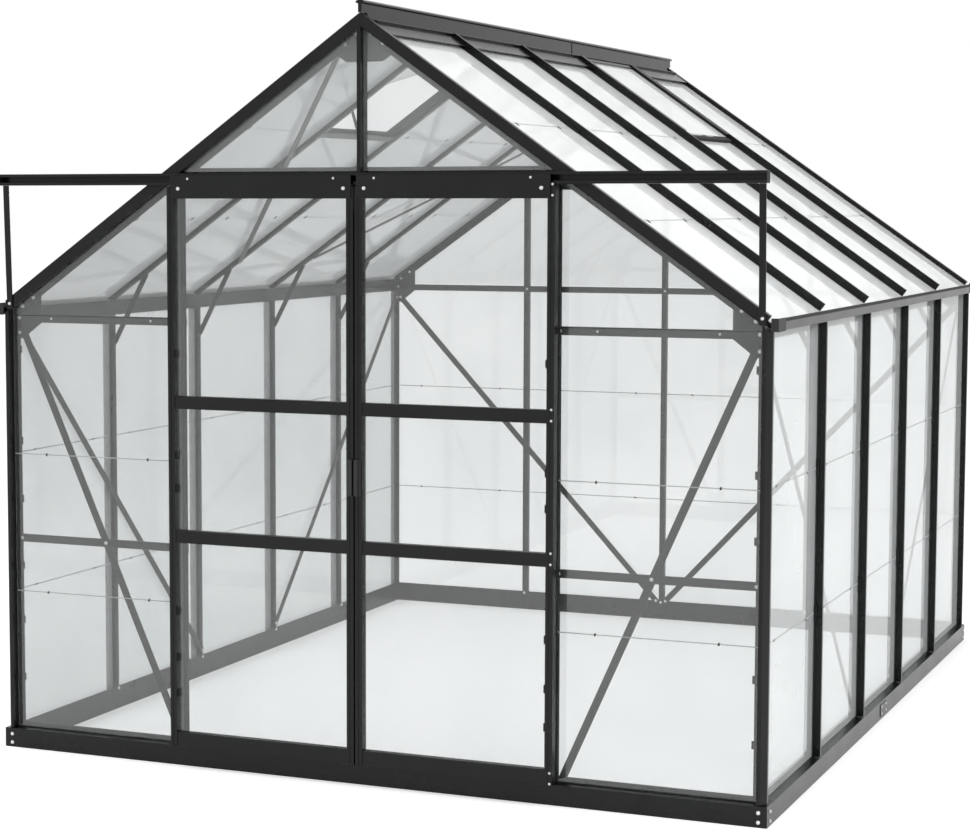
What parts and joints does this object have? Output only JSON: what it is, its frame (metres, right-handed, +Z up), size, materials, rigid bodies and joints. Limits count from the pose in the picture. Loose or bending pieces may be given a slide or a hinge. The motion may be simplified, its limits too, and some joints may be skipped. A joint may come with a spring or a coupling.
{
  "type": "glass greenhouse",
  "caption": "Free-standing glazed greenhouse with a pitched roof on a low base, sliding doors in the front gable and hinged roof vents, one of them propped open.",
  "frame": {"origin": "centre of the footprint of the overall box, on the ground", "axes": "+X to the right when facing the doors from outside, +Y from the doors to the rear gable, +Z up"},
  "size_m": [2.5846, 3.2318, 2.3913],
  "materials": {
    "frame_coat": "satin black powder coat on aluminium",
    "base_coat": "satin black powder coat on steel",
    "brace_coat": "satin dark grey powder coat",
    "plastic": "matt black moulded plastic",
    "glass": "clear toughened glass"
  },
  "bodies": {
    "greenhouse": {"base_front": "base_coat", "base_rear": "base_coat", "base_sides": "base_coat", "base_corner_brackets": "base_coat", "base_splice_plates": "base_coat", "corner_posts": "frame_coat", "side_wall_bars": "frame_coat", "gutters": "frame_coat", "gutter_end_caps": "plastic", "ridge_beam": "frame_coat", "gable_rafters": "frame_coat", "roof_bars": "frame_coat", "door_posts": "frame_coat", "front_gable_bar": "frame_coat", "front_header": "brace_coat", "front_side_rails": "brace_coat", "rear_gable_bars": "frame_coat", "rear_gable_rail": "brace_coat", "apex_gussets": "brace_coat", "eaves_gussets": "brace_coat", "wall_braces": "brace_coat", "gable_braces": "brace_coat", "roof_braces": "brace_coat", "knee_straps": "brace_coat", "door_track": "frame_coat", "track_struts": "frame_coat", "front_side_glass": "glass", "front_peak_glass": "glass", "rear_gable_glass": "glass", "side_wall_glass": "glass", "roof_glass": "glass", "vent_frames": "frame_coat", "vent_glass": "glass", "vent_sills": "frame_coat", "vent_stays": "frame_coat"},
    "left_door": {"left_door_stiles": "frame_coat", "left_door_rails": "frame_coat", "left_door_hanger": "frame_coat", "left_door_glass": "glass", "left_door_handle": "plastic"},
    "right_door": {"right_door_stiles": "frame_coat", "right_door_rails": "frame_coat", "right_door_hanger": "frame_coat", "right_door_glass": "glass", "right_door_handle": "plastic"}
  },
  "joints": [
    {"name": "left_door_slide", "type": "slide", "parent": "greenhouse", "child": "left_door", "axis": [-1, 0, 0], "range_m": [0, 0.59]},
    {"name": "right_door_slide", "type": "slide", "parent": "greenhouse", "child": "right_door", "axis": [1, 0, 0], "range_m": [0, 0.59]}
  ]
}
